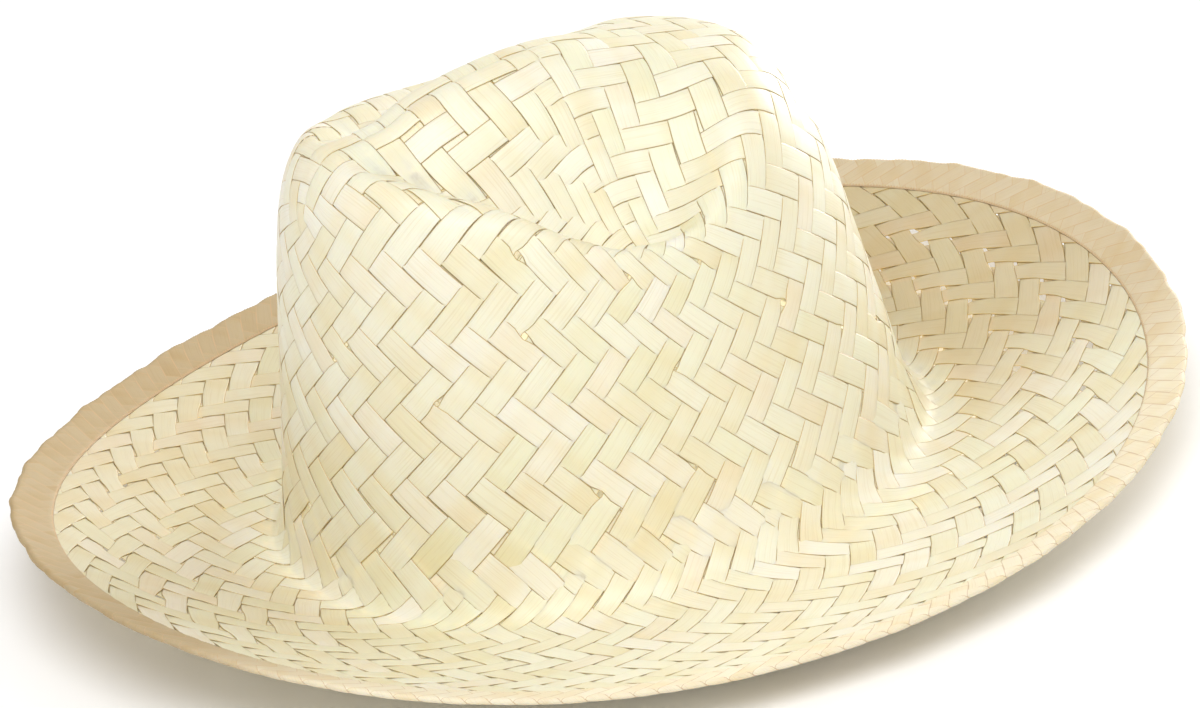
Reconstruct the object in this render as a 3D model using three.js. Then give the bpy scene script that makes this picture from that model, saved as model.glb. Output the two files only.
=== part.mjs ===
// Straw cowboy hat: a woven straw body, crown and brim in one, with a folded hem on the brim's edge.
// Millimetres, +Z up. X runs from the front of the hat (-X) to the back (+X), Y from the wearer's
// left (-Y) to the right (+Y). The hat stands on z = 0 as it rests on a table.
import * as THREE from 'three';

// Woven wall and hem
const WALL = 1.5;
const WALL_IN_HEM = 0.9;
const GAP = 0.3;
const HEM_LAYER = 0.8;
const HEM_WIDTH = 12.6;
const HEM_NOSE = 1.9;
const BEVEL = 0.9;

// Facets
const MERIDIANS = 64;
const CROWN_RINGS = 26;
const BRIM_RINGS = 5;
const SAMPLES = 600;
const SLOPE_STEP = 0.2;

// Head oval, where the crown meets the brim
const HEAD_FRONT = 100;
const HEAD_BACK = 103.5;
const HEAD_HALF = 87;
const HEAD_POWER = 2.1;

// Open crown before it is dented: share of the head oval, then heights over the base line
const DOME = [
  { reach: 0, front: 146.5, back: 146.5, side: 146.5 },
  { reach: 0.3, front: 145.5, back: 139, side: 139.5 },
  { reach: 0.5, front: 142, back: 134.5, side: 132 },
  { reach: 0.62, front: 137.5, back: 131.5, side: 125 },
  { reach: 0.7, front: 134, back: 127, side: 119 },
  { reach: 0.76, front: 128, back: 117, side: 111 },
  { reach: 0.8, front: 121, back: 108.5, side: 101 },
  { reach: 0.835, front: 110, back: 100, side: 89 },
  { reach: 0.866, front: 94, back: 89, side: 76 },
  { reach: 0.91, front: 63, back: 65, side: 54 },
  { reach: 0.955, front: 31, back: 41, side: 30 },
  { reach: 1, front: 6, back: 15, side: 12 },
  { reach: 1.06, front: -8, back: 2, side: 3 },
  { reach: 1.15, front: -20, back: -7, side: -2 },
  { reach: 1.4, front: -38, back: -23, side: -13 },
  { reach: 2.3, front: -98, back: -78, side: -78 },
];

// Fold along the crown: height of the crest, then how far out and how deep each side dent is
const FOLD = [
  { x: -95, crest: 129, leftOut: 3, leftDeep: 0, rightOut: 3, rightDeep: 0 },
  { x: -83, crest: 138.5, leftOut: 6, leftDeep: 0, rightOut: 6, rightDeep: 0 },
  { x: -72, crest: 140, leftOut: 9, leftDeep: 1, rightOut: 9, rightDeep: 1 },
  { x: -62, crest: 135.5, leftOut: 14, leftDeep: 7, rightOut: 14, rightDeep: 5 },
  { x: -52, crest: 134.5, leftOut: 20, leftDeep: 14, rightOut: 20, rightDeep: 11 },
  { x: -40, crest: 140, leftOut: 28, leftDeep: 26, rightOut: 28, rightDeep: 17 },
  { x: -20, crest: 144.5, leftOut: 44, leftDeep: 48, rightOut: 38, rightDeep: 25 },
  { x: -9, crest: 145.5, leftOut: 51, leftDeep: 56, rightOut: 43, rightDeep: 28 },
  { x: 5, crest: 144, leftOut: 58, leftDeep: 57, rightOut: 48, rightDeep: 29 },
  { x: 28, crest: 139.5, leftOut: 62, leftDeep: 46, rightOut: 52, rightDeep: 24 },
  { x: 50, crest: 134.5, leftOut: 62, leftDeep: 28, rightOut: 52, rightDeep: 16 },
  { x: 75, crest: 128, leftOut: 62, leftDeep: 20, rightOut: 52, rightDeep: 12 },
  { x: 100, crest: 92, leftOut: 62, leftDeep: 20, rightOut: 52, rightDeep: 12 },
];
const DENT_LIP = 0.3;

// Back end of the dents: distance out from the middle, and where the crown rises again
const DENT_END = [
  { out: 0, x: 22 },
  { out: 10, x: 34 },
  { out: 20, x: 40 },
  { out: 30, x: 44 },
  { out: 40, x: 45 },
  { out: 50, x: 41 },
  { out: 60, x: 31 },
  { out: 66, x: 19 },
  { out: 72, x: 0 },
  { out: 80, x: -40 },
  { out: 120, x: -300 },
];
const END_RISE = 1.15;
const END_SOFT = 26;

// Softness of the rim between crown and dents, and of the crown's foot
const RIM_SOFT = 15;
const FOOT_SOFT = 9;

// Brim edge: mean reach and its changes round the hat, then heights over the base line
const EDGE_REACH = 182;
const EDGE_REACH_TURNS = [-5.63, 3.89, 2.25];
const EDGE_HEIGHT = 22;
const EDGE_HEIGHT_TURNS = [0, 8.53, 1.44, 0.98];
const END_SLOPE_RISE = 19;
const SIDE_SLOPE_RISE = -4;

const STRAW = new THREE.Color(0.86, 0.77, 0.55);
const HEM_STRAW = new THREE.Color(0.8, 0.67, 0.48);

// Smooth curve through the rows of a table, with no overshoot
function readTable(rows, key, column, at) {
  const last = rows.length - 1;
  const x = Math.min(Math.max(at, rows[0][key]), rows[last][key]);
  let i = 0;
  while (i < last - 1 && x > rows[i + 1][key]) i += 1;
  const span = (k) => rows[k + 1][key] - rows[k][key];
  const rate = (k) => (rows[k + 1][column] - rows[k][column]) / span(k);
  const tangent = (k) => {
    if (k === 0) return 0;
    if (k === last) return rate(last - 1);
    const before = rate(k - 1);
    const after = rate(k);
    if (before * after <= 0) return 0;
    const w1 = 2 * span(k) + span(k - 1);
    const w2 = span(k) + 2 * span(k - 1);
    return (w1 + w2) / (w1 / before + w2 / after);
  };
  const h = span(i);
  const t = (x - rows[i][key]) / h;
  const start = rows[i][column] * (1 + 2 * t) * (1 - t) ** 2 + tangent(i) * h * t * (1 - t) ** 2;
  const end = rows[i + 1][column] * t * t * (3 - 2 * t) + tangent(i + 1) * h * t * t * (t - 1);
  return start + end;
}

// Lower of two heights, with the corner between them rounded
function softMin(a, b, soft) {
  const share = Math.min(Math.max(0.5 + (0.5 * (b - a)) / soft, 0), 1);
  return b * (1 - share) + a * share - soft * share * (1 - share);
}

function softMax(a, b, soft) {
  return -softMin(-a, -b, soft);
}

function turns(amounts, angle) {
  return amounts.reduce((sum, amount, i) => sum + amount * Math.cos((i + 1) * angle), 0);
}

// Angles run from the front of the hat round by its right side
function headReach(angle) {
  const length = Math.cos(angle) > 0 ? HEAD_FRONT : HEAD_BACK;
  const along = Math.abs(Math.cos(angle) / length) ** HEAD_POWER;
  const across = Math.abs(Math.sin(angle) / HEAD_HALF) ** HEAD_POWER;
  return (along + across) ** (-1 / HEAD_POWER);
}

function edgeReach(angle) {
  return EDGE_REACH + turns(EDGE_REACH_TURNS, angle);
}

function edgeHeight(angle) {
  return EDGE_HEIGHT + turns(EDGE_HEIGHT_TURNS, angle);
}

function domeHeight(angle, reach) {
  const ends = Math.cos(angle) ** 2;
  const end = readTable(DOME, 'reach', Math.cos(angle) > 0 ? 'front' : 'back', reach);
  return end * ends + readTable(DOME, 'reach', 'side', reach) * (1 - ends);
}

// Crest with the two dents that fall away from it and close at the back
function foldHeight(x, y) {
  const side = y > 0 ? 'right' : 'left';
  const out = readTable(FOLD, 'x', `${side}Out`, x);
  const deep = readTable(FOLD, 'x', `${side}Deep`, x);
  const share = Math.abs(y) / out;
  const inside = Math.min(share, 1);
  const fall = 0.35 * (1 - Math.cos(Math.PI * inside)) + 0.3 * inside ** 1.3;
  const lip = DENT_LIP * Math.max(share - 1, 0) * out;
  const end = readTable(DENT_END, 'out', 'x', Math.abs(y));
  const lean = readTable(DENT_END, 'out', 'x', Math.abs(y) + 1) - end;
  const past = (x - end) / Math.hypot(1, lean);
  const rise = (END_RISE * (Math.hypot(past, END_SOFT) + past)) / 2;
  return readTable(FOLD, 'x', 'crest', x) - deep * fall + lip + rise;
}

function brimHeight(angle, radius) {
  const ends = Math.cos(angle) ** 2;
  const rise = SIDE_SLOPE_RISE * (1 - ends) + END_SLOPE_RISE * ends;
  const across = (radius - headReach(angle)) / (edgeReach(angle) - headReach(angle));
  const t = Math.max(across, -0.3);
  return rise * t + (edgeHeight(angle) - rise) * t * t;
}

// Height of the wall's middle over the base line, at a point of the plan
function wallHeight(x, y) {
  const angle = Math.atan2(y, -x);
  const radius = Math.hypot(x, y);
  const dome = domeHeight(angle, radius / headReach(angle));
  const crown = softMin(dome, foldHeight(x, y), RIM_SOFT);
  return softMax(crown, brimHeight(angle, radius), FOOT_SOFT);
}

// Point of the wall's middle at a radius, moved along the wall's normal
function wallPoint(angle, radius, offset) {
  const x = -radius * Math.cos(angle);
  const y = radius * Math.sin(angle);
  const slopeX = (wallHeight(x + SLOPE_STEP, y) - wallHeight(x - SLOPE_STEP, y)) / (2 * SLOPE_STEP);
  const slopeY = (wallHeight(x, y + SLOPE_STEP) - wallHeight(x, y - SLOPE_STEP)) / (2 * SLOPE_STEP);
  const normal = new THREE.Vector3(-slopeX, -slopeY, 1).normalize();
  return new THREE.Vector3(x, y, wallHeight(x, y)).addScaledVector(normal, offset);
}

// Length along a meridian from the middle of the crown, for each sampled radius
function meridian(angle) {
  const reach = edgeReach(angle);
  const samples = [{ radius: 0, length: 0 }];
  let height = wallHeight(0, 0);
  for (let i = 1; i <= SAMPLES; i += 1) {
    const radius = (reach * i) / SAMPLES;
    const next = wallHeight(-radius * Math.cos(angle), radius * Math.sin(angle));
    const step = Math.hypot(reach / SAMPLES, next - height);
    samples.push({ radius, length: samples[i - 1].length + step });
    height = next;
  }
  return samples;
}

function lookUp(samples, from, to, value) {
  let i = 1;
  while (i < samples.length - 1 && samples[i][from] < value) i += 1;
  const a = samples[i - 1];
  const b = samples[i];
  return a[to] + ((b[to] - a[to]) * (value - a[from])) / (b[from] - a[from]);
}

// Radii of the body's rings: even steps over the crown, even steps over the brim, then the hem's step
function ringRadii(angle) {
  const samples = meridian(angle);
  const edge = samples[SAMPLES].length;
  const foot = lookUp(samples, 'radius', 'length', headReach(angle));
  const mouth = edge - HEM_WIDTH;
  const lengths = [];
  for (let i = 1; i <= CROWN_RINGS; i += 1) lengths.push((foot * i) / CROWN_RINGS);
  const brim = mouth - GAP - BEVEL - foot;
  for (let i = 1; i <= BRIM_RINGS; i += 1) lengths.push(foot + (brim * i) / BRIM_RINGS);
  lengths.push(mouth - GAP, edge - HEM_NOSE - GAP);
  return lengths.map((length) => lookUp(samples, 'length', 'radius', length));
}

function angleOf(i) {
  return (2 * Math.PI * i) / MERIDIANS;
}

function geometryOf(points, triangles) {
  const geometry = new THREE.BufferGeometry();
  const positions = points.flatMap((point) => point.toArray());
  geometry.setAttribute('position', new THREE.Float32BufferAttribute(positions, 3));
  geometry.setIndex(triangles.flat());
  geometry.computeVertexNormals();
  return geometry;
}

// Four corners in order, parted along the shorter diagonal
function quad(points, a, b, c, d) {
  const across = points[a].distanceTo(points[c]);
  if (across < points[b].distanceTo(points[d])) return [[a, b, c], [a, c, d]];
  return [[a, b, d], [b, c, d]];
}

// Two faces of rings round a middle point, joined at the raw edge
function bodyGeometry() {
  const rings = CROWN_RINGS + BRIM_RINGS + 2;
  const points = [];
  const triangles = [];
  const faces = [1, -1];
  faces.forEach((face) => points.push(wallPoint(0, 0, (face * WALL) / 2)));
  for (let i = 0; i < MERIDIANS; i += 1) {
    const radii = ringRadii(angleOf(i));
    faces.forEach((face) => {
      radii.forEach((radius, ring) => {
        const thick = ring < rings - 2 ? WALL : WALL_IN_HEM;
        points.push(wallPoint(angleOf(i), radius, (face * thick) / 2));
      });
    });
  }
  const at = (i, face, ring) => 2 + ((i % MERIDIANS) * 2 + face) * rings + ring;
  for (let i = 0; i < MERIDIANS; i += 1) {
    triangles.push([0, at(i + 1, 0, 0), at(i, 0, 0)]);
    triangles.push([1, at(i, 1, 0), at(i + 1, 1, 0)]);
    for (let ring = 0; ring < rings - 1; ring += 1) {
      const next = ring + 1;
      triangles.push(...quad(points, at(i, 0, ring), at(i + 1, 0, ring), at(i + 1, 0, next), at(i, 0, next)));
      triangles.push(...quad(points, at(i, 1, ring), at(i, 1, next), at(i + 1, 1, next), at(i + 1, 1, ring)));
    }
    const last = rings - 1;
    triangles.push(...quad(points, at(i, 0, last), at(i + 1, 0, last), at(i + 1, 1, last), at(i, 1, last)));
  }
  return geometryOf(points, triangles);
}

// Folded band: distance in from the edge, and offset from the middle of the wall
function hemSection() {
  const inner = WALL_IN_HEM / 2 + GAP;
  const outer = inner + HEM_LAYER;
  return [
    { inward: HEM_WIDTH, offset: outer },
    { inward: HEM_NOSE, offset: outer },
    { inward: 0.5, offset: 0.7 * outer },
    { inward: 0, offset: 0 },
    { inward: 0.5, offset: -0.7 * outer },
    { inward: HEM_NOSE, offset: -outer },
    { inward: HEM_WIDTH, offset: -outer },
    { inward: HEM_WIDTH, offset: -inner },
    { inward: HEM_NOSE, offset: -inner },
    { inward: HEM_NOSE, offset: inner },
    { inward: HEM_WIDTH, offset: inner },
  ];
}

function hemGeometry() {
  const section = hemSection();
  const points = [];
  const triangles = [];
  for (let i = 0; i < MERIDIANS; i += 1) {
    const samples = meridian(angleOf(i));
    const edge = samples[SAMPLES].length;
    section.forEach(({ inward, offset }) => {
      points.push(wallPoint(angleOf(i), lookUp(samples, 'length', 'radius', edge - inward), offset));
    });
  }
  const count = section.length;
  const at = (i, k) => (i % MERIDIANS) * count + (k % count);
  for (let i = 0; i < MERIDIANS; i += 1) {
    for (let k = 0; k < count; k += 1) {
      triangles.push(...quad(points, at(i, k), at(i + 1, k), at(i + 1, k + 1), at(i, k + 1)));
    }
  }
  return geometryOf(points, triangles);
}

function piece(name, geometry, color, roughness) {
  const material = new THREE.MeshStandardMaterial({ color, roughness, metalness: 0 });
  const mesh = new THREE.Mesh(geometry, material);
  mesh.name = name;
  return mesh;
}

// Sets the hat down on z = 0 with the middle of its brim over the origin
function setDown(body, hem) {
  body.computeBoundingBox();
  hem.computeBoundingBox();
  const middle = (hem.boundingBox.min.x + hem.boundingBox.max.x) / 2;
  const lowest = body.boundingBox.min.z;
  [body, hem].forEach((geometry) => geometry.translate(-middle, 0, -lowest));
}

const body = bodyGeometry();
const hem = hemGeometry();
setDown(body, hem);

const hat = new THREE.Group();
hat.name = 'straw_cowboy_hat';
hat.add(piece('woven_body', body, STRAW, 0.55));
hat.add(piece('brim_hem', hem, HEM_STRAW, 0.65));

export default hat;
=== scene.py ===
"""Straw cowboy hat: strips woven two over, two under from the crown's crest to the brim's edge, and a
folded woven hem. Metres, +Z up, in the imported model's frame."""

import math

import bpy
import numpy as np
from mathutils import Matrix, Vector


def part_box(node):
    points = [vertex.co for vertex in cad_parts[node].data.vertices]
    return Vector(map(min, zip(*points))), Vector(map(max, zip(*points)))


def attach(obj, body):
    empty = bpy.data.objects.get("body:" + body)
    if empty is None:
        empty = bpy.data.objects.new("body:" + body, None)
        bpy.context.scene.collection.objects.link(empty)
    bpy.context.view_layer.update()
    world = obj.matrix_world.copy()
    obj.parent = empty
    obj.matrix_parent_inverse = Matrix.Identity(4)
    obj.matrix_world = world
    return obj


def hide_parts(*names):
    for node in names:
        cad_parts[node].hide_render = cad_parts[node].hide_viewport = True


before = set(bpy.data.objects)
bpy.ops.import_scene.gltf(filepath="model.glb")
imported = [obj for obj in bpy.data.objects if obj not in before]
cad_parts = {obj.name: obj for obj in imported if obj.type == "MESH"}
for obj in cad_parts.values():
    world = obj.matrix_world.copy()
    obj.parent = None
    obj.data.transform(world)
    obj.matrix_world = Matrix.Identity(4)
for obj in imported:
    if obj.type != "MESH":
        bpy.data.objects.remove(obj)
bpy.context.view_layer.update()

MM = 0.001
rng = np.random.default_rng(20)

# ---------------------------------------------------------------- form of the hat, in mm
HEAD_FRONT = 100
HEAD_BACK = 103.5
HEAD_HALF = 87
HEAD_POWER = 2.1
EDGE_REACH = 182
EDGE_REACH_TURNS = (-5.63, 3.89, 2.25)
EDGE_HEIGHT = 22
EDGE_HEIGHT_TURNS = (0, 8.53, 1.44, 0.98)
END_SLOPE_RISE = 19
SIDE_SLOPE_RISE = -4
DENT_LIP = 0.3
# Fall of a dent from the crest: share of the rounded part, share and power of the sharper part
DENT_ROUND = 0.35
DENT_SHARP = 0.3
DENT_SHARP_POWER = 1.3
CREST_SOFT = 3
END_RISE = 1.15
END_SOFT = 26
RIM_SOFT = 15
FOOT_SOFT = 9
HEM_WIDTH = 12.6

# Open crown: share of the head oval, heights toward the front, the back and the sides
DOME = np.array([
    (0, 146.5, 146.5, 146.5),
    (0.3, 145.5, 139, 139.5),
    (0.5, 142, 134.5, 132),
    (0.62, 137.5, 131.5, 125),
    (0.7, 134, 127, 119),
    (0.76, 128, 117, 111),
    (0.8, 121, 108.5, 101),
    (0.835, 110, 100, 89),
    (0.866, 94, 89, 76),
    (0.91, 63, 65, 54),
    (0.955, 31, 41, 30),
    (1, 6, 15, 12),
    (1.06, -8, 2, 3),
    (1.15, -20, -7, -2),
    (1.4, -38, -23, -13),
    (2.3, -98, -78, -78),
])
# Fold along the crown: x, crest height, then reach and depth of the left and of the right dent
FOLD = np.array([
    (-95, 129, 3, 0, 3, 0),
    (-83, 138.5, 6, 0, 6, 0),
    (-72, 140, 9, 1, 9, 1),
    (-62, 135.5, 14, 7, 14, 5),
    (-52, 134.5, 20, 14, 20, 11),
    (-40, 140, 28, 26, 28, 17),
    (-20, 144.5, 44, 48, 38, 25),
    (-9, 145.5, 51, 56, 43, 28),
    (5, 144, 58, 57, 48, 29),
    (28, 139.5, 62, 46, 52, 24),
    (50, 134.5, 62, 28, 52, 16),
    (75, 128, 62, 20, 52, 12),
    (100, 92, 62, 20, 52, 12),
])
# Back end of the dents: distance from the middle line, x
DENT_END = np.array([
    (0, 22),
    (10, 34),
    (20, 40),
    (30, 44),
    (40, 45),
    (50, 41),
    (60, 31),
    (66, 19),
    (72, 0),
    (80, -40),
    (120, -300),
])


def read_table(rows, column, at):
    """Smooth curve through the rows, with no overshoot."""
    x, y = rows[:, 0], rows[:, column]
    h = np.diff(x)
    d = np.diff(y) / h
    tangent = np.zeros(len(x))
    tangent[-1] = d[-1]
    for k in range(1, len(x) - 1):
        if d[k - 1] * d[k] > 0:
            w1 = 2 * h[k] + h[k - 1]
            w2 = h[k] + 2 * h[k - 1]
            tangent[k] = (w1 + w2) / (w1 / d[k - 1] + w2 / d[k])
    at = np.clip(at, x[0], x[-1])
    i = np.clip(np.searchsorted(x, at) - 1, 0, len(h) - 1)
    t = (at - x[i]) / h[i]
    start = y[i] * (1 + 2 * t) * (1 - t) ** 2 + tangent[i] * h[i] * t * (1 - t) ** 2
    return start + y[i + 1] * t * t * (3 - 2 * t) + tangent[i + 1] * h[i] * t * t * (t - 1)


def soft_min(a, b, soft):
    share = np.clip(0.5 + 0.5 * (b - a) / soft, 0, 1)
    return b * (1 - share) + a * share - soft * share * (1 - share)


def turns(amounts, angle):
    return sum(amount * np.cos((i + 1) * angle) for i, amount in enumerate(amounts))


def head_reach(angle):
    length = np.where(np.cos(angle) > 0, HEAD_FRONT, HEAD_BACK)
    along = np.abs(np.cos(angle) / length) ** HEAD_POWER
    return (along + np.abs(np.sin(angle) / HEAD_HALF) ** HEAD_POWER) ** (-1 / HEAD_POWER)


def edge_reach(angle):
    return EDGE_REACH + turns(EDGE_REACH_TURNS, angle)


def fold_height(x, y):
    right = y > 0
    out = np.where(right, read_table(FOLD, 4, x), read_table(FOLD, 2, x))
    deep = np.where(right, read_table(FOLD, 5, x), read_table(FOLD, 3, x))
    share = (np.hypot(y, CREST_SOFT) - CREST_SOFT) / out
    inside = np.minimum(share, 1)
    fall = DENT_ROUND * (1 - np.cos(np.pi * inside)) + DENT_SHARP * inside**DENT_SHARP_POWER
    lip = DENT_LIP * np.maximum(share - 1, 0) * out
    end = read_table(DENT_END, 1, np.abs(y))
    lean = read_table(DENT_END, 1, np.abs(y) + 1) - end
    past = (x - end) / np.hypot(1, lean)
    return read_table(FOLD, 1, x) - deep * fall + lip + END_RISE * (np.hypot(past, END_SOFT) + past) / 2


def wall_height(x, y):
    """Middle of the woven wall over the crown's base line."""
    angle = np.arctan2(y, -x)
    radius = np.hypot(x, y)
    reach = head_reach(angle)
    ends = np.cos(angle) ** 2
    share = radius / reach
    end_dome = np.where(np.cos(angle) > 0, read_table(DOME, 1, share), read_table(DOME, 2, share))
    dome = end_dome * ends + read_table(DOME, 3, share) * (1 - ends)
    crown = soft_min(dome, fold_height(x, y), RIM_SOFT)
    rise = SIDE_SLOPE_RISE * (1 - ends) + END_SLOPE_RISE * ends
    across = np.maximum((radius - reach) / (edge_reach(angle) - reach), -0.3)
    edge = EDGE_HEIGHT + turns(EDGE_HEIGHT_TURNS, angle)
    brim = rise * across + (edge - rise) * across**2
    return -soft_min(-crown, -brim, FOOT_SOFT)


# ---------------------------------------------------------------- meridians: angle and share of the way out
# The way out runs from 0 at the crown's middle to 1 at its foot and 2 at the brim's edge.
ANGLES = np.linspace(0, 2 * math.pi, 721)
WAY = np.linspace(0, 2, 321)


def radii_along_meridians():
    share = np.linspace(0, 1, 901)
    table = np.zeros((len(ANGLES), len(WAY)))
    lengths = np.zeros((len(ANGLES), 2))
    for i, angle in enumerate(ANGLES):
        radius = share * edge_reach(angle)
        height = wall_height(-radius * math.cos(angle), radius * math.sin(angle))
        length = np.concatenate([[0], np.cumsum(np.hypot(np.diff(radius), np.diff(height)))])
        foot = np.interp(head_reach(angle), radius, length)
        edge = length[-1]
        wanted = np.where(WAY < 1, WAY * foot, foot + (WAY - 1) * (edge - foot))
        table[i] = np.interp(wanted, length, radius)
        lengths[i] = foot, edge - foot
    return table, lengths


RADII, LENGTHS = radii_along_meridians()
BRIM_LENGTH = LENGTHS[:, 1]


def radius_at(angle, way):
    a = np.mod(angle, 2 * math.pi) / (2 * math.pi) * (len(ANGLES) - 1)
    w = np.clip(way, 0, 2) / 2 * (len(WAY) - 1)
    i = np.clip(a.astype(int), 0, len(ANGLES) - 2)
    j = np.clip(w.astype(int), 0, len(WAY) - 2)
    a, w = a - i, w - j
    low = RADII[i, j] * (1 - w) + RADII[i, j + 1] * w
    return low * (1 - a) + (RADII[i + 1, j] * (1 - w) + RADII[i + 1, j + 1] * w) * a


def brim_length(angle):
    return np.interp(np.mod(angle, 2 * math.pi), ANGLES, BRIM_LENGTH)


def surface(angle, way):
    radius = radius_at(angle, way)
    x, y = -radius * np.cos(angle), radius * np.sin(angle)
    return np.stack([x, y, wall_height(x, y)], -1)


def normals(points):
    step = 0.2
    x, y = points[..., 0], points[..., 1]
    slope_x = (wall_height(x + step, y) - wall_height(x - step, y)) / (2 * step)
    slope_y = (wall_height(x, y + step) - wall_height(x, y - step)) / (2 * step)
    normal = np.stack([-slope_x, -slope_y, np.ones_like(x)], -1)
    return normal / np.linalg.norm(normal, axis=-1, keepdims=True)


def to_frame(points):
    """From the form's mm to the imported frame's metres."""
    return (points + SHIFT) * MM


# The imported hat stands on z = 0 with the middle of its brim over the origin
BODY_LOW, BODY_HIGH = (np.array(corner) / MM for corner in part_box("woven_body"))
RIM = surface(ANGLES, np.full(len(ANGLES), 2.0))
WALL = 1.5
lowest = (surface(ANGLES[:, None] + 0 * WAY, 0 * ANGLES[:, None] + WAY)[..., 2]).min() - WALL / 2
SHIFT = np.array([-(RIM[:, 0].min() + RIM[:, 0].max()) / 2, 0, -lowest])

# ---------------------------------------------------------------- the woven net
# Strips run straight over a square-cut top and slant down the wall. The top's four corners sit near the
# shoulder, and everywhere between them the weave keeps its square cells.
STRIPS_EACH_WAY = 24
STRIPS_ON_BRIM = 64
STEPS = 4
CORNER = 90.0
PITCHES_ROUND = 2 * STRIPS_EACH_WAY * math.sqrt(2) / (2 * math.pi)
MAX_PITCHES = 40
CROWN_WAY = 195.0
BRIM_WAY = 94.0
# Way out, radius of the undented form, stretch of the cells along the meridian
CELLS = np.array([
    (0.0, 0.0, 1.0),
    (0.25, 48.0, 1.0),
    (0.4, 76.0, 1.0),
    (0.48, 87.0, 0.96),
    (0.58, 92.0, 0.9),
    (0.8, 95.0, 0.9),
    (1.0, 99.0, 0.96),
    (1.1, 108.0, 0.96),
    (1.35, 132.0, 0.78),
    (1.7, 160.0, 0.58),
    (2.0, 184.0, 0.5),
])


def way_of_depth():
    """Table from the net's depth, the log of its radius, to the way out."""
    way = np.concatenate([[0.002], np.linspace(0.005, 2.0, 1200)])
    step = np.diff(way) * np.where(way[1:] <= 1, CROWN_WAY, BRIM_WAY)
    middle = (way[1:] + way[:-1]) / 2
    radius = np.interp(middle, CELLS[:, 0], CELLS[:, 1])
    stretch = np.interp(middle, CELLS[:, 0], CELLS[:, 2])
    depth = math.log(way[0] * CROWN_WAY) + np.concatenate([[0], np.cumsum(step / (radius * stretch))])
    return depth, way


DEPTHS, WAYS = way_of_depth()


def turned_to_head(angle):
    """Even steps along the head's oval rather than in angle, by about half."""
    return angle + 0.5 * OVAL_TURN * np.sin(2 * angle)


OVAL_TURN = (HEAD_FRONT - HEAD_HALF) / (HEAD_FRONT + HEAD_HALF)


def log_step(z_log, last_phase):
    """Change of the net's log point for one pitch along a strip, on the branch next to the last one."""
    power = 4 * z_log
    inner = np.log(CORNER**4 * np.exp(-power) - 1 + 0j) / 4
    phase = inner.imag
    phase += np.round((last_phase - phase) / (math.pi / 2)) * (math.pi / 2)
    return np.exp(inner.real + 1j * phase) / PITCHES_ROUND, phase


def half_strips():
    """One quarter's half strips, from the middle line out: log points at every quarter pitch, and the
    change of the log point for one pitch across the strip, away from the crown's middle."""
    count = STRIPS_EACH_WAY // 2
    rows = np.linspace(0, CORNER, 20001)[:-1]
    rate = PITCHES_ROUND / (CORNER**4 - rows**4) ** 0.25
    along = np.concatenate([[0], np.cumsum((rate[1:] + rate[:-1]) / 2 * np.diff(rows))])
    start = np.interp(np.arange(count) + 0.5, along, rows)
    z_log = np.log(start) + 1j * math.pi / 2
    phase = np.full(count, -math.pi / 2)
    h = 1 / (2 * STEPS)
    lines, across = [], []
    for i in range(MAX_PITCHES * STEPS * 2):
        k1, phase = log_step(z_log, phase)
        if i % 2 == 0:
            lines.append(z_log)
            across.append(1j * k1)
        k2, phase = log_step(z_log + h / 2 * k1, phase)
        k3, phase = log_step(z_log + h / 2 * k2, phase)
        k4, phase = log_step(z_log + h * k3, phase)
        z_log = z_log + h / 6 * (k1 + 2 * k2 + 2 * k3 + k4)
    return np.array(lines).T, np.array(across).T


# ---------------------------------------------------------------- strips
STRIP_THICK = 0.3
LIFT = 0.2
STRIP_SHARE = 1.03
STRIP_WIDEST = 8.8
# Cross-section of a strip: share of the half width, share of the thickness from its middle
SECTION = np.array([
    (-1, 0.05), (-0.88, 0.4), (-0.3, 0.5), (0.3, 0.5), (0.88, 0.4), (1, 0.05), (0.6, -0.5), (-0.6, -0.5),
])
# Loose weave on the brim: the middle of its loose rings in every four, how far the strips are drawn in there
# in mm, the ways out where that starts and where it eases toward the hem, each with the stretch it takes,
# how much it eases, its share at the hat's sides, and the lengths in mm over which it varies
LOOSE_RING = 1.5
LOOSE_BY = 1.5
LOOSE_FROM = (1.15, 0.2)
TIGHTER_FROM = (1.68, 0.15)
TIGHTER_BY = 0.8
LOOSE_AT_SIDES = 0.2
PATCH = (7.3, 5.9)
# A strip's share of its full width, at random, and the sway of its width and of its middle line in mm
WIDTH_SHARES = (0.985, 1.0)
WIDTH_SWAY = 0.04
LINE_SWAY = 0.06
# Open corners here and there on the crown: count, least and most draw-in of the strips round one, and how
# far from it the draw-in is felt
OPEN_CORNERS = 34
OPEN_BY = (0.4, 1.3)
OPEN_NEAR = 4.0
OPEN_WAYS = (0.5, 0.97)


def smooth(t):
    t = np.clip(t, 0, 1)
    return t * t * (3 - 2 * t)


def make_mesh(name, points, loops, starts, tints, grain, domain):
    """One mesh with a tint for each strip and a grain map: place across the strip, mm along it."""
    mesh = bpy.data.meshes.new(name)
    mesh.vertices.add(len(points))
    mesh.vertices.foreach_set("co", points.ravel())
    mesh.loops.add(len(loops))
    mesh.loops.foreach_set("vertex_index", loops)
    mesh.polygons.add(len(starts))
    mesh.polygons.foreach_set("loop_start", starts)
    mesh.update(calc_edges=True)
    mesh.shade_smooth()
    tint = mesh.attributes.new("tint", "FLOAT", domain)
    tint.data.foreach_set("value", tints.astype(np.float32))
    mesh.uv_layers.new(name="grain").uv.foreach_set("vector", grain.astype(np.float32).ravel())
    piece = bpy.data.objects.new(name, mesh)
    bpy.context.scene.collection.objects.link(piece)
    return piece


# Painted shade where the crown shadows the brim and the brim tilts from the light: share of the head's reach
# over which it grows, how far it goes round to the left side and from the front to the back, each as a start
# and a stretch in mm, and its share at the front
SHADE_OUT = 0.25
SHADE_LEFT = (10, 90)
SHADE_BACK = (60, 160)
SHADE_FRONT = 0.6


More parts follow.
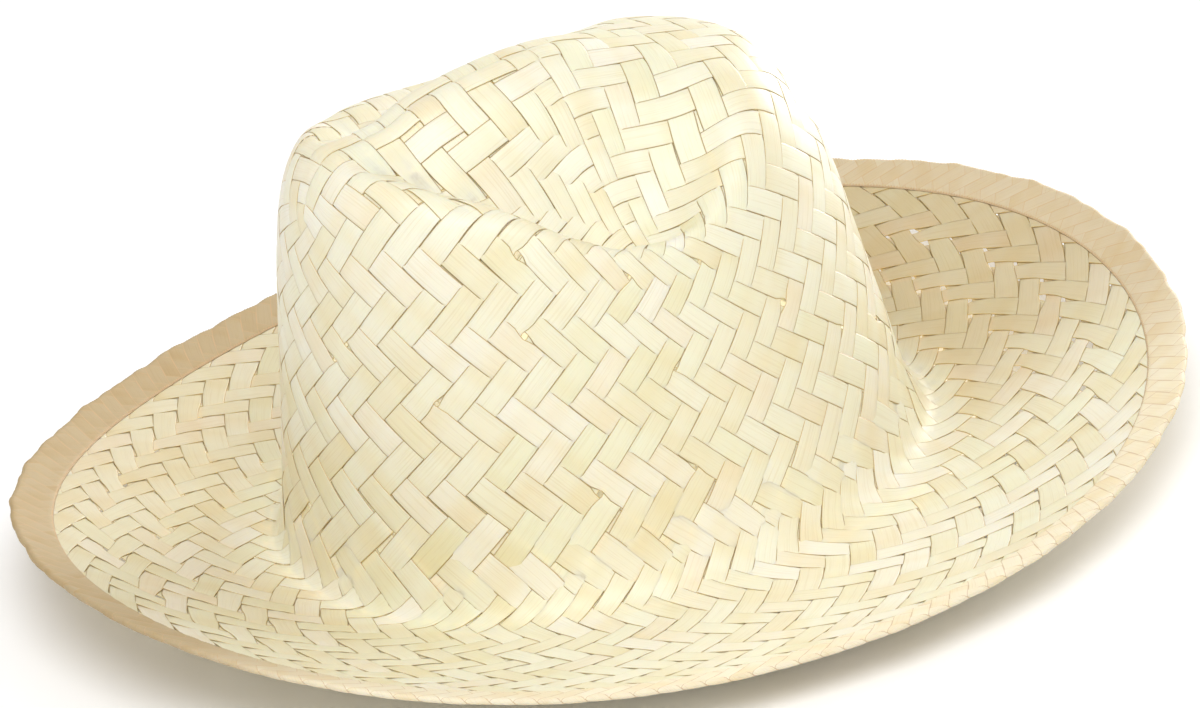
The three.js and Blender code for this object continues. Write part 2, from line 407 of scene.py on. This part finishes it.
def painted_shade_of(points):
    """Painted shade on the straw: most on the brim's back, some on its front, none near the left side."""
    x, y = points[..., 0], points[..., 1]
    outside = smooth((np.hypot(x, y) / head_reach(np.arctan2(y, -x)) - 1) / SHADE_OUT)
    left = smooth((-y - SHADE_LEFT[0]) / SHADE_LEFT[1])
    back = smooth((x + SHADE_BACK[0]) / SHADE_BACK[1])
    return outside * (1 - left) * (SHADE_FRONT + (1 - SHADE_FRONT) * back)


class Ribbons:
    """Many closed strips gathered into one mesh, with a tint and a grain map for each."""

    def __init__(self):
        self.points, self.faces, self.ends, self.tints, self.grain, self.painted_shades = [], [], [], [], [], []
        self.count = 0

    def add(self, middle, side, lift, left, right, tint):
        """A strip along middle (n x 3), lying on the wall, with half widths left and right of it."""
        n, k = len(middle), len(SECTION)
        reach = np.where(SECTION[:, 0] < 0, left[:, None], right[:, None]) * SECTION[:, 0]
        points = middle[:, None] + side[:, None] * reach[..., None]
        for _ in range(2):
            normal = normals(points)
            above = points[..., 2] - wall_height(points[..., 0], points[..., 1])
            points = points - normal * (above * normal[..., 2])[..., None]
        points = points + normal * (lift[:, None] + SECTION[:, 1] * STRIP_THICK)[..., None]
        # painted shade for each point of the strip
        self.painted_shades.append(painted_shade_of(points).reshape(-1))
        i = np.arange(n - 1)[:, None] * k
        j = np.arange(k)
        quads = np.stack([i + j, i + (j + 1) % k, i + k + (j + 1) % k, i + k + j], -1).reshape(-1, 4)
        length = np.concatenate([[0], np.cumsum(np.linalg.norm(np.diff(middle, axis=0), axis=1))])
        self.points.append(points.reshape(-1, 3))
        self.faces.append(quads + self.count)
        self.ends.append(self.count + np.arange(k)[::-1])
        self.ends.append(self.count + (n - 1) * k + np.arange(k))
        self.tints.append(np.full(n * k, tint))
        across = np.broadcast_to(SECTION[:, 0], (n, k))
        along = np.broadcast_to(length[:, None], (n, k))
        self.grain.append(np.stack([across, along], -1).reshape(-1, 2))
        self.count += n * k

    def build(self, name):
        faces = np.concatenate(self.faces)
        loops = np.concatenate([faces.ravel(), np.concatenate(self.ends)])
        sizes = np.concatenate([np.full(len(faces), 4), [len(end) for end in self.ends]])
        starts = np.concatenate([[0], np.cumsum(sizes)[:-1]])
        points = to_frame(np.concatenate(self.points))
        grain = np.concatenate(self.grain)[loops]
        piece = make_mesh(name, points, loops, starts, np.concatenate(self.tints), grain, "POINT")
        # the painted shade goes on as a point attribute
        painted_shade = piece.data.attributes.new("painted_shade", "FLOAT", "POINT")
        painted_shade.data.foreach_set("value", np.concatenate(self.painted_shades).astype(np.float32))
        return piece


# The strips end inside the hem, this far in from the brim's edge
END_IN = 8
EDGE_WAY = 2 - END_IN / BRIM_WAY
# Share of a pitch between a strip's middle line and the line beside it that gives its side
NEAR = 0.05
# Joining strips: least way out where they may start, steps that reach past the edge, depth under the others
JOIN_FROM = 0.97
ENOUGH_STEPS = 120
JOIN_UNDER = 1.3


def lift_signs(row, t):
    """+1 where the strip lies over, -1 where it lies under: two and two, turning at the pitch lines."""

    def crossing(centre):
        ring = row + 1 + np.floor(np.abs(centre))
        over = np.mod(ring, 4) < 2
        return np.where(over == (centre > 0), 1.0, -1.0)

    line = np.round(t)
    before, after = crossing(line - 0.5), crossing(line + 0.5)
    return before + (after - before) * smooth((t - line + 0.3) / 0.6)


def loosened(ring):
    """1 between the rings where the brim's weave is loose, falling to 0 at its tight ones."""
    return smooth(1.25 - np.abs(np.mod(ring - LOOSE_RING + 2, 4) - 2))


def patchy(edge):
    """Uneven from place to place: how open the brim's loose corners are."""
    return 0.6 + 0.6 * np.sin(edge[:, 0] / PATCH[0]) * np.sin(edge[:, 1] / PATCH[1])


def wander(t, size, waves=3):
    """A slow seeded sway along a strip."""
    total = np.zeros(len(t))
    for _ in range(waves):
        total += np.sin(t * rng.uniform(0.25, 1.1) + rng.uniform(0, 2 * math.pi))
    return size * total / waves


def joining_ring(lines):
    """Ring at the crown's foot where new strips join, its depth, and the angle there of strip 0.

    Strips come in threes, and one joins after each third. The strips that cross on the ring then stay
    paired if their numbers add up to two more than a multiple of three."""
    for ring in range(24, 40):
        point = lines[0][int((ring - 0.5) * STEPS)]
        total = STRIPS_EACH_WAY - point.imag * 2 * STRIPS_EACH_WAY / math.pi
        if np.interp(point.real, DEPTHS, WAYS) > JOIN_FROM and round(total) % 3 == 2:
            return ring, point.real, point.imag
    raise ValueError("no ring to join on")


def half_strip(lines, across, row, quarter):
    """Turn and depth of a strip from the middle line to the edge, and of a line beside it."""
    ring, joined, _ = JOIN
    slot = 2 * math.pi / STRIPS_ON_BRIM
    last = int((ring - row - 0.5) * STEPS)
    z, step = lines[row][: last + 1], across[row][: last + 1]
    turn, depth = z.imag, z.real
    beside_turn, beside_depth = (z + NEAR * step).imag, (z + NEAR * step).real
    more = joined + np.arange(1, ENOUGH_STEPS) * slot / 2 / STEPS
    more = more[more < EDGE_DEPTH]
    straight = turn[-1] - (more - joined)
    turn, depth = np.concatenate([turn, straight]), np.concatenate([depth, more])
    # one pitch across, in the net's even part, is half a slot out and half a slot round
    beside_turn = np.concatenate([beside_turn, straight + NEAR * slot / 2])
    beside_depth = np.concatenate([beside_depth, more + NEAR * slot / 2])
    number = row + STRIPS_EACH_WAY // 2 * quarter
    shift = (1 - number % 3) / 3 * slot * smooth((depth - joined + 3.5 * slot) / (6 * slot))
    turn = turn + quarter * math.pi / 2 + shift
    beside_turn = beside_turn + quarter * math.pi / 2 + shift
    return turn, depth, beside_turn, beside_depth


def new_strip(number):
    """A strip that joins at the crown's foot."""
    _, joined, strip_0 = JOIN
    slot = 2 * math.pi / STRIPS_ON_BRIM
    depth = joined + np.arange(-3, ENOUGH_STEPS) * slot / 2 / STEPS
    depth = depth[depth < EDGE_DEPTH]
    turn = (4 * number + 3 + 1 / 3) * slot + strip_0 - (depth - joined)
    return turn, depth, turn + NEAR * slot / 2, depth + NEAR * slot / 2


def strip_points(turn, depth, mirrored):
    angle = np.where(mirrored, math.pi - turn, turn)
    return surface(turned_to_head(angle), np.interp(depth, DEPTHS, WAYS))


def evened(values):
    """Running mean over two pitches."""
    span = np.ones(2 * STEPS + 1)
    padded = np.pad(values, STEPS, mode="edge")
    return np.convolve(padded, span / span.sum(), mode="valid")


def open_corners():
    """Places of the crown's few open corners, each on the inner edge of some strip."""
    places = []
    while len(places) < OPEN_CORNERS:
        row, quarter = rng.integers(STRIPS_EACH_WAY // 2), rng.integers(4)
        turn, depth, beside_turn, beside_depth = half_strip(LINES, ACROSS, row, quarter)
        at = STEPS * rng.integers(len(turn) // STEPS)
        way = np.interp(depth[at], DEPTHS, WAYS)
        if OPEN_WAYS[0] < way < OPEN_WAYS[1]:
            middle = strip_points(turn[at], depth[at], False)
            outer = strip_points(beside_turn[at], beside_depth[at], False)
            places.append(middle - (outer - middle) / NEAR / 2)
    return np.array(places)


def opened(edge):
    """How far a strip's edge is drawn in beside the open corners."""
    distance = np.linalg.norm(edge[:, None] - CORNERS, axis=-1)
    return (CORNER_SIZES * smooth(1 - distance / OPEN_NEAR)).max(1)


def lay_strip(ribbons, middle, outer, t, ring, lift, way):
    """One strip with its widths: full along its floats, drawn in beside the open corners."""
    normal = normals(middle)
    along = np.gradient(middle, axis=0)
    along -= normal * (along * normal).sum(1, keepdims=True)
    along /= np.linalg.norm(along, axis=1, keepdims=True)
    side = np.cross(normal, along)
    reach = ((outer - middle) * side).sum(1) / NEAR
    pitch = evened(np.abs(reach))
    width = np.minimum(pitch * STRIP_SHARE, STRIP_WIDEST) * rng.uniform(*WIDTH_SHARES)
    half = width / 2 + wander(t, WIDTH_SWAY)
    endwise = middle[:, 0] / np.hypot(middle[:, 0], middle[:, 1])
    loose = LOOSE_BY * smooth((way - LOOSE_FROM[0]) / LOOSE_FROM[1])
    loose = loose * (1 - TIGHTER_BY * smooth((way - TIGHTER_FROM[0]) / TIGHTER_FROM[1]))
    loose = loose * (LOOSE_AT_SIDES + (1 - LOOSE_AT_SIDES) * endwise**2)
    outward = side * (half * np.sign(reach))[:, None]
    outside = half - loose * loosened(ring + 1) * patchy(middle + outward) - opened(middle + outward)
    inside = half - loose * loosened(ring) * patchy(middle - outward) - opened(middle - outward)
    right = np.where(reach > 0, outside, inside)
    left = np.where(reach > 0, inside, outside)
    ribbons.add(middle + side * wander(t, LINE_SWAY)[:, None], side, lift, left, right, rng.uniform())


def body_strip(ribbons, lines, across, quarter, row):
    out = half_strip(lines, across, row, quarter)
    back = half_strip(lines, across, row, -quarter)
    t = np.arange(len(out[0])) / STEPS
    t = np.concatenate([-t[:0:-1], t])
    mirrored = t < 0
    turn, depth, beside_turn, beside_depth = (np.concatenate([b[:0:-1], f]) for b, f in zip(back, out))
    middle = strip_points(turn, depth, mirrored)
    outer = strip_points(beside_turn, beside_depth, mirrored)
    ring = row + np.abs(t)
    lay_strip(ribbons, middle, outer, t, ring, LIFT * lift_signs(row, t), np.interp(depth, DEPTHS, WAYS))


def joined_strip(ribbons, number, mirrored):
    turn, depth, beside_turn, beside_depth = new_strip(number)
    t = np.arange(len(turn)) / STEPS - 3 / STEPS + 0.5
    hand = np.full(len(t), mirrored)
    middle = strip_points(turn, depth, hand)
    outer = strip_points(beside_turn, beside_depth, hand)
    ring = JOIN[0]
    lift = lift_signs(ring - 1, np.where(t < 0, 0.0, t) * (-1 if mirrored else 1))
    under = smooth((t + 0.1) / 0.5)
    lift = LIFT * (lift * under - JOIN_UNDER * (1 - under))
    lay_strip(ribbons, middle, outer, t, ring - 1 + np.abs(t), lift, np.interp(depth, DEPTHS, WAYS))


def build_body():
    pieces = []
    hands = (("strips_lengthwise", (0, 2), False), ("strips_crosswise", (1, 3), True))
    for name, quarters, mirrored in hands:
        ribbons = Ribbons()
        for quarter in quarters:
            for row in range(STRIPS_EACH_WAY // 2):
                body_strip(ribbons, LINES, ACROSS, quarter, row)
        for number in range(STRIPS_ON_BRIM // 4):
            joined_strip(ribbons, number, mirrored)
        piece = ribbons.build(name)
        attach(piece, "root")
        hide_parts("woven_body")
        pieces.append(piece)
    return pieces


LINES, ACROSS = half_strips()
JOIN = joining_ring(LINES)
EDGE_DEPTH = float(np.interp(EDGE_WAY, WAYS, DEPTHS))
CORNERS = open_corners()
CORNER_SIZES = rng.uniform(*OPEN_BY, len(CORNERS))


# ---------------------------------------------------------------- hem
# The brim's edge is folded back over both faces as one flat band. Slanting strips show in it as low
# ridges, two over and two under, on a grid of diamonds whose sides follow the strips.
HEM_STRIPS = 160
HEM_SPLITS = 6
HEM_COLUMNS = HEM_STRIPS * HEM_SPLITS
HEM_SLANT = math.radians(52)
HEM_ROUND = 0.85
HEM_LIP = 1.1
HEM_THICK = 0.3
HEM_RIDGE = 0.13
HEM_NOSE_OUT = -0.5
HEM_LINING_ROWS = 15
HEM_LINING_SHORT = 0.3
# Painted shade on the hem, over its own duller tone: start and stretch in mm toward the left side, and how
# much less of it at the back
HEM_SHADE_LEFT = (50, 70)
HEM_SHADE_LESS = 0.4
# Waves along the brim's edge: count round the hat, size
HEM_WAVES = ((7, 0.25), (23, 0.3), (41, 0.22), (67, 0.2), (103, 0.1))
HEM_PHASES = rng.uniform(0, 2 * math.pi, len(HEM_WAVES))
HEM_TINTS = rng.random(2 * HEM_STRIPS)
HEM_PITCH = 2 * math.pi * EDGE_REACH / HEM_STRIPS
HEM_REACH = HEM_WIDTH - HEM_ROUND + math.pi / 2 * HEM_ROUND


def hem_path(p, inset):
    """Distance in from the edge and offset from the wall's middle, at p along the fold from its nose."""
    out = np.abs(p)
    turn = np.clip(out / HEM_ROUND, 0, math.pi / 2)
    past = np.maximum(out - math.pi / 2 * HEM_ROUND, 0)
    lip = np.maximum(out - HEM_REACH, 0)
    inward = (HEM_ROUND - inset) * (1 - np.cos(turn)) + inset + past - 0.4 * lip
    offset = (HEM_ROUND - inset) * np.sin(turn) - 0.4 * lip * (inset == 0)
    return inward - HEM_NOSE_OUT, np.sign(p) * offset


def hem_points(angle, p, inset=0.0, ridge=0.0):
    inward, offset = hem_path(p, inset)
    waves = sum(size * np.sin(count * angle + phase) for (count, size), phase in zip(HEM_WAVES, HEM_PHASES))
    inward = inward - waves * np.cos(np.clip(p / HEM_REACH, -1, 1) * math.pi / 2)
    way = 2 - inward / brim_length(angle)
    base = surface(angle, np.minimum(way, 2))
    normal = normals(base)
    outward = np.stack([-np.cos(angle), np.sin(angle), np.zeros_like(angle)], -1)
    outward -= normal * (outward * normal).sum(-1, keepdims=True)
    outward /= np.linalg.norm(outward, axis=-1, keepdims=True)
    turn = np.clip(np.abs(p) / HEM_ROUND, 0, math.pi / 2)
    beyond = np.maximum(way - 2, 0) * brim_length(angle) + ridge * np.cos(turn)
    offset = offset + np.sign(p) * ridge * np.sin(turn)
    return base + outward * beyond[..., None] + normal * offset[..., None]


def hem_cell(a, b):
    """Whether strip a lies over strip b here, and the place along the float, -1 to 1."""
    level = np.floor(a) + np.floor(b)
    over = np.mod(level, 4) < 2
    along = np.where(over, np.mod(b + np.floor(a), 4) - 1, np.mod(a + np.floor(b), 4) - 3)
    return over, along


def hem_ridge(a, b):
    """Height of the woven band, 0 at the strips' edges and 1 along their middles."""
    lowest = np.ones_like(a)
    for step_a in (-1e-6, 1e-6):
        for step_b in (-1e-6, 1e-6):
            over, along = hem_cell(a + step_a, b + step_b)
            across = np.mod(np.where(over, a + step_a, b + step_b), 1) * 2 - 1
            lowest = np.minimum(lowest, (1 - across**4) * (1 - 0.5 * along**6))
    return lowest


def band_grid():
    """Rows across the fold and columns round the hat, odd rows half a column on."""
    row_step = HEM_PITCH / 2 / HEM_SPLITS * math.tan(HEM_SLANT)
    last = round((HEM_REACH + HEM_LIP) / row_step)
    row, column = np.meshgrid(np.arange(-last, last + 1), np.arange(HEM_COLUMNS), indexing="ij")
    return row, column + 0.5 * np.mod(row, 2), row_step


def build_hem():
    row, around, row_step = band_grid()
    last = row.max()
    turn = 2 * math.pi / HEM_COLUMNS
    ridge = hem_ridge((around + row / 2) / HEM_SPLITS, (row / 2 - around) / HEM_SPLITS)
    skin = hem_points(around * turn, row * row_step, 0.0, HEM_RIDGE * ridge)
    fold, column = np.meshgrid(np.linspace(-1, 1, HEM_LINING_ROWS), np.arange(HEM_COLUMNS), indexing="ij")
    lining = hem_points(column * turn, fold * (last * row_step - HEM_LINING_SHORT), HEM_THICK)
    points = np.concatenate([skin.reshape(-1, 3), lining.reshape(-1, 3)])

    def at(row, column):
        return (row + last) * HEM_COLUMNS + np.mod(column, HEM_COLUMNS)

    rows, columns = np.meshgrid(np.arange(1 - last, last), np.arange(HEM_COLUMNS), indexing="ij")
    k, m = rows.ravel(), columns.ravel()
    odd = np.mod(k, 2)
    diamonds = np.stack([at(k - 1, m + odd), at(k, m + 1), at(k + 1, m + odd), at(k, m)], -1)
    middle_a = (m + 0.5 * odd + 0.5 + k / 2) / HEM_SPLITS
    middle_b = (k / 2 - m - 0.5 * odd - 0.5) / HEM_SPLITS
    over, _ = hem_cell(middle_a, middle_b)
    number = np.where(over, np.floor(middle_a) % HEM_STRIPS, HEM_STRIPS + np.floor(middle_b) % HEM_STRIPS)
    half = 0.5 / HEM_SPLITS
    corner_a = middle_a[:, None] + half * np.array([-1, 1, 1, -1])
    corner_b = middle_b[:, None] + half * np.array([-1, -1, 1, 1])
    start = np.where(over, np.floor(middle_a), np.floor(middle_b))[:, None]
    across = (np.where(over[:, None], corner_a, corner_b) - start) * 2 - 1
    along = np.where(over[:, None], corner_b, corner_a) * HEM_PITCH
    # the lip rows take the amber edge colour: the hem's stained edge and painted shade of the gap along its
    # inner edge
    across = np.where(np.abs(k)[:, None] >= last - 1, 1.0, across)
    # half diamonds along both edges, the lining, and the seams that close the band
    m = np.arange(HEM_COLUMNS)
    odd = last % 2
    edges = [np.stack([at(-last, m), at(-last, m + 1), at(1 - last, m + odd)], -1)]
    edges.append(np.stack([at(last, m + 1), at(last, m), at(last - 1, m + odd)], -1))
    first = last + 1
    rows, columns = np.meshgrid(np.arange(HEM_LINING_ROWS - 1), np.arange(HEM_COLUMNS), indexing="ij")
    k, m = first + rows.ravel(), columns.ravel()
    inner = np.stack([at(k, m), at(k + 1, m), at(k + 1, m + 1), at(k, m + 1)], -1)
    m = np.arange(HEM_COLUMNS)
    top = first + HEM_LINING_ROWS - 1
    seams = [np.stack([at(-last, m + 1), at(-last, m), at(first, m), at(first, m + 1)], -1)]
    seams.append(np.stack([at(last, m), at(last, m + 1), at(top, m + 1), at(top, m)], -1))
    quads = np.concatenate([diamonds, inner, *seams])
    triangles = np.concatenate(edges)
    plain = len(quads) - len(diamonds)
    grain = np.stack([across.ravel(), along.ravel()], -1)
    # the lining, seams and edge triangles take the same amber edge colour, partly stained edge and partly
    # painted shade
    grain = np.concatenate([grain, np.tile([1.0, 0.0], (plain * 4 + len(triangles) * 3, 1))])
    tints = np.concatenate([HEM_TINTS[number.astype(int)], np.full(plain + len(triangles), 0.5)])
    loops = np.concatenate([quads.ravel(), triangles.ravel()])
    starts = np.concatenate([np.arange(len(quads)) * 4, len(quads) * 4 + np.arange(len(triangles)) * 3])
    piece = make_mesh("hem_band", to_frame(points), loops, starts, tints, grain, "FACE")
    # painted shade on the hem: full at the front, less at the back, none toward the left side
    x, y = points[:, 0], points[:, 1]
    left = smooth((-y - HEM_SHADE_LEFT[0]) / HEM_SHADE_LEFT[1])
    painted_shade = (1 - left) * (1 - HEM_SHADE_LESS * smooth((x + SHADE_BACK[0]) / SHADE_BACK[1]))
    piece.data.attributes.new("painted_shade", "FLOAT", "POINT").data.foreach_set("value", painted_shade.astype(np.float32))
    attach(piece, "root")
    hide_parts("brim_hem")
    return piece


# ---------------------------------------------------------------- materials
def feed(tree, socket, value):
    """Link a socket to another one, or set its value."""
    if isinstance(value, bpy.types.NodeSocket):
        tree.links.new(value, socket)
    else:
        socket.default_value = value


def attribute(tree, name):
    made = tree.nodes.new("ShaderNodeAttribute")
    made.attribute_name = name
    return made.outputs["Fac"]


def maths(tree, operation, *values):
    made = tree.nodes.new("ShaderNodeMath")
    made.operation = operation
    for socket, value in zip(made.inputs, values):
        feed(tree, socket, value)
    return made.outputs[0]


def noise(tree, x, y, **settings):
    place = tree.nodes.new("ShaderNodeCombineXYZ")
    feed(tree, place.inputs[0], x)
    feed(tree, place.inputs[1], y)
    made = tree.nodes.new("ShaderNodeTexNoise")
    for key, value in settings.items():
        made.inputs[key].default_value = value
    tree.links.new(place.outputs[0], made.inputs["Vector"])
    return made.outputs["Fac"]


def blend(tree, kind, share, under, over):
    made = tree.nodes.new("ShaderNodeMix")
    made.data_type = "RGBA"
    made.blend_type = kind
    for name, value in (("Factor", share), ("A", under), ("B", over)):
        feed(tree, made.inputs[name], value)
    return made.outputs["Result"]


def ramp(tree, source, stops):
    made = tree.nodes.new("ShaderNodeValToRGB")
    while len(made.color_ramp.elements) < len(stops):
        made.color_ramp.elements.new(0.5)
    for element, (place, colour) in zip(made.color_ramp.elements, stops):
        element.position = place
        element.color = (*colour, 1)
    tree.links.new(source, made.inputs["Fac"])
    return made.outputs["Color"]


# Noise across a strip and along each mm of it, and how far apart in the noise the tints put the strips
GRAIN_ACROSS = 9.0
GRAIN_ALONG = 0.035
GRAIN_APART = 731.0
GLOSS_SPREAD = 0.22
FIBRE_STREAKS = ((0.3, (0.91, 0.87, 0.78)), (0.5, (1, 1, 1)), (0.75, (1.0, 0.99, 0.93)))
BROAD_STAINS = ((0.3, (0.96, 0.9, 0.78)), (0.55, (1, 1, 1)))
# Amber toward a strip's sides: partly the straw's own browner edges, partly painted shade of the gaps
# between strips
AMBER_EDGES_AND_GAP_SHADE = ((0.9, (0, 0, 0)), (0.97, (0.8, 0.8, 0.8)))


def straw(name, tones, edge, shade_colour, gloss):
    """Split straw: one tone a strip, fine fibres along it, painted shade where the shade attribute says, and
    edges that darken to amber, partly the straw's own browner edges and partly painted shade of the gaps
    between strips.
    """
    material = bpy.data.materials.new(name)
    material.use_nodes = True
    tree = material.node_tree
    link = tree.links.new
    shader = tree.nodes["Principled BSDF"]
    tint = attribute(tree, "tint")
    grain = tree.nodes.new("ShaderNodeUVMap")
    grain.uv_map = "grain"
    parts = tree.nodes.new("ShaderNodeSeparateXYZ")
    link(grain.outputs["UV"], parts.inputs[0])
    # fibres: many across the strip, long along it; the tint moves each strip to its own stretch of noise
    apart = maths(tree, "MULTIPLY", tint, GRAIN_APART)
    across = maths(tree, "MULTIPLY_ADD", parts.outputs["X"], GRAIN_ACROSS, apart)
    along = maths(tree, "MULTIPLY", parts.outputs["Y"], GRAIN_ALONG)
    fibres = noise(tree, across, along, Scale=1.0, Detail=5.0, Roughness=0.65)
    # broad stains along the strip
    stains = noise(tree, apart, along, Scale=1.6, Detail=2.0)
    colour = blend(tree, "MULTIPLY", 1.0, ramp(tree, tint, tones), ramp(tree, fibres, FIBRE_STREAKS))
    colour = blend(tree, "MULTIPLY", 1.0, colour, ramp(tree, stains, BROAD_STAINS))
    # painted shade: the straw is darkened toward the shade colour by the per-point shade attribute
    colour = blend(tree, "MULTIPLY", attribute(tree, "painted_shade"), colour, (*shade_colour, 1))
    rim = maths(tree, "ABSOLUTE", parts.outputs["X"])
    # amber at the strips' sides, partly the straw's own edge colour and partly painted shade of the gaps
    colour = blend(tree, "MIX", ramp(tree, rim, AMBER_EDGES_AND_GAP_SHADE), colour, (*edge, 1))
    link(colour, shader.inputs["Base Color"])
    rough = tree.nodes.new("ShaderNodeMapRange")
    rough.inputs["To Min"].default_value = gloss
    rough.inputs["To Max"].default_value = gloss + GLOSS_SPREAD
    link(fibres, rough.inputs["Value"])
    link(rough.outputs[0], shader.inputs["Roughness"])
    bump = tree.nodes.new("ShaderNodeBump")
    bump.inputs["Strength"].default_value = 0.25
    bump.inputs["Distance"].default_value = 0.0002
    link(fibres, bump.inputs["Height"])
    link(bump.outputs[0], shader.inputs["Normal"])
    shader.inputs["Specular IOR Level"].default_value = 0.6
    # light soaks through the thin straw and warms on the way
    shader.inputs["Subsurface Weight"].default_value = 0.25
    shader.inputs["Subsurface Radius"].default_value = (1.0, 0.7, 0.3)
    shader.inputs["Subsurface Scale"].default_value = 0.0008
    return material


# ---------------------------------------------------------------- floor, light and camera
def aim(thing, place, target):
    thing.location = place
    thing.rotation_euler = (Vector(target) - Vector(place)).to_track_quat("-Z", "Y").to_euler()


def soft_light(name, place, target, size, power):
    light = bpy.data.lights.new(name, "AREA")
    light.shape = "DISK"
    light.size = size
    light.energy = power
    thing = bpy.data.objects.new(name, light)
    bpy.context.scene.collection.objects.link(thing)
    aim(thing, place, target)


FLOOR_SIZE = 30
FLOOR_DROP = 0.0002
WORLD_LIGHT = 0.72
KEY_PLACE = (-0.45, -0.95, 1.7)
KEY_SIZE = 1.4
KEY_POWER = 21
RIM_PLACE = (1.5, 0.75, 0.3)
RIM_SIZE = 0.8
RIM_POWER = 18
# A low disc under the hat lights its hollow, so that the open corners show pale
HOLLOW_HEIGHT = 0.002
HOLLOW_PLACE = (0.005, 0.03)
HOLLOW_SIZE = 0.28
HOLLOW_POWER = 0.21


def build_stage():
    bpy.ops.mesh.primitive_plane_add(size=FLOOR_SIZE, location=(0, 0, -FLOOR_DROP))
    floor = bpy.context.object
    floor.name = "floor"
    pale = bpy.data.materials.new("floor_paint")
    pale.use_nodes = True
    pale.node_tree.nodes["Principled BSDF"].inputs["Base Color"].default_value = (0.97, 0.97, 0.97, 1)
    pale.node_tree.nodes["Principled BSDF"].inputs["Roughness"].default_value = 0.9
    floor.data.materials.append(pale)
    world = bpy.data.worlds.new("studio")
    bpy.context.scene.world = world
    world.use_nodes = True
    world.node_tree.nodes["Background"].inputs["Color"].default_value = (1, 1, 1, 1)
    world.node_tree.nodes["Background"].inputs["Strength"].default_value = WORLD_LIGHT
    soft_light("key", KEY_PLACE, (0, 0, 0.05), KEY_SIZE, KEY_POWER)
    soft_light("rim", RIM_PLACE, (0, 0, 0.08), RIM_SIZE, RIM_POWER)
    soft_light("hollow", (*HOLLOW_PLACE, HOLLOW_HEIGHT), (*HOLLOW_PLACE, 1), HOLLOW_SIZE, HOLLOW_POWER)
    bpy.context.scene.view_settings.view_transform = "Standard"


CAMERA_DISTANCE = 1.667
CAMERA_HEIGHT_ANGLE = 25.4
CAMERA_TURN = 25.0
CAMERA_ROLL = 9.19
CAMERA_LENS = 160
CAMERA_SENSOR = 36
# How far right and up of the picture's middle the aim point falls, in mm on the sensor
AIM_ON_SENSOR = (-0.45, -1.74)
AIM_HEIGHT = 22


def build_camera():
    e, turn, roll = (math.radians(v) for v in (CAMERA_HEIGHT_ANGLE, CAMERA_TURN, CAMERA_ROLL))
    forward = Vector((math.sin(turn) * math.cos(e), math.cos(turn) * math.cos(e), -math.sin(e)))
    level = Vector((math.cos(turn), -math.sin(turn), 0))
    upward = level.cross(forward)
    right = level * math.cos(roll) - upward * math.sin(roll)
    up = level * math.sin(roll) + upward * math.cos(roll)
    basis = Matrix((right, up, -forward)).transposed()
    off_axis = (basis @ Vector((*AIM_ON_SENSOR, -CAMERA_LENS))).normalized()
    turned = off_axis.rotation_difference(forward).to_matrix() @ basis
    data = bpy.data.cameras.new("camera")
    data.lens = CAMERA_LENS
    data.sensor_width = CAMERA_SENSOR
    data.clip_end = 50
    camera = bpy.data.objects.new("camera", data)
    target = Vector(to_frame(np.array([0, 0, AIM_HEIGHT])))
    camera.matrix_world = Matrix.Translation(target - forward * CAMERA_DISTANCE) @ turned.to_4x4()
    bpy.context.scene.collection.objects.link(camera)
    bpy.context.scene.camera = camera


weave = straw("straw_weave", [
    (0.0, (0.81, 0.74, 0.53)),
    (0.2, (0.83, 0.78, 0.59)),
    (0.4, (0.85, 0.81, 0.65)),
    (0.6, (0.81, 0.78, 0.57)),
    (0.8, (0.84, 0.76, 0.59)),
    (1.0, (0.86, 0.81, 0.67)),
# after the tones: amber edge colour (the straw's own edges and painted gap shade), painted shade colour,
# gloss
], (0.66, 0.42, 0.14), (0.71, 0.63, 0.51), 0.3)
hem_straw = straw("straw_hem", [
    (0.0, (0.84, 0.73, 0.53)),
    (0.5, (0.87, 0.78, 0.60)),
    (1.0, (0.85, 0.75, 0.56)),
# after the tones: amber edge colour (the hem's own edges and painted gap shade), painted shade colour, gloss
], (0.58, 0.38, 0.20), (0.56, 0.48, 0.36), 0.48)

for piece in build_body():
    piece.data.materials.append(weave)
build_hem().data.materials.append(hem_straw)
build_stage()
build_camera()
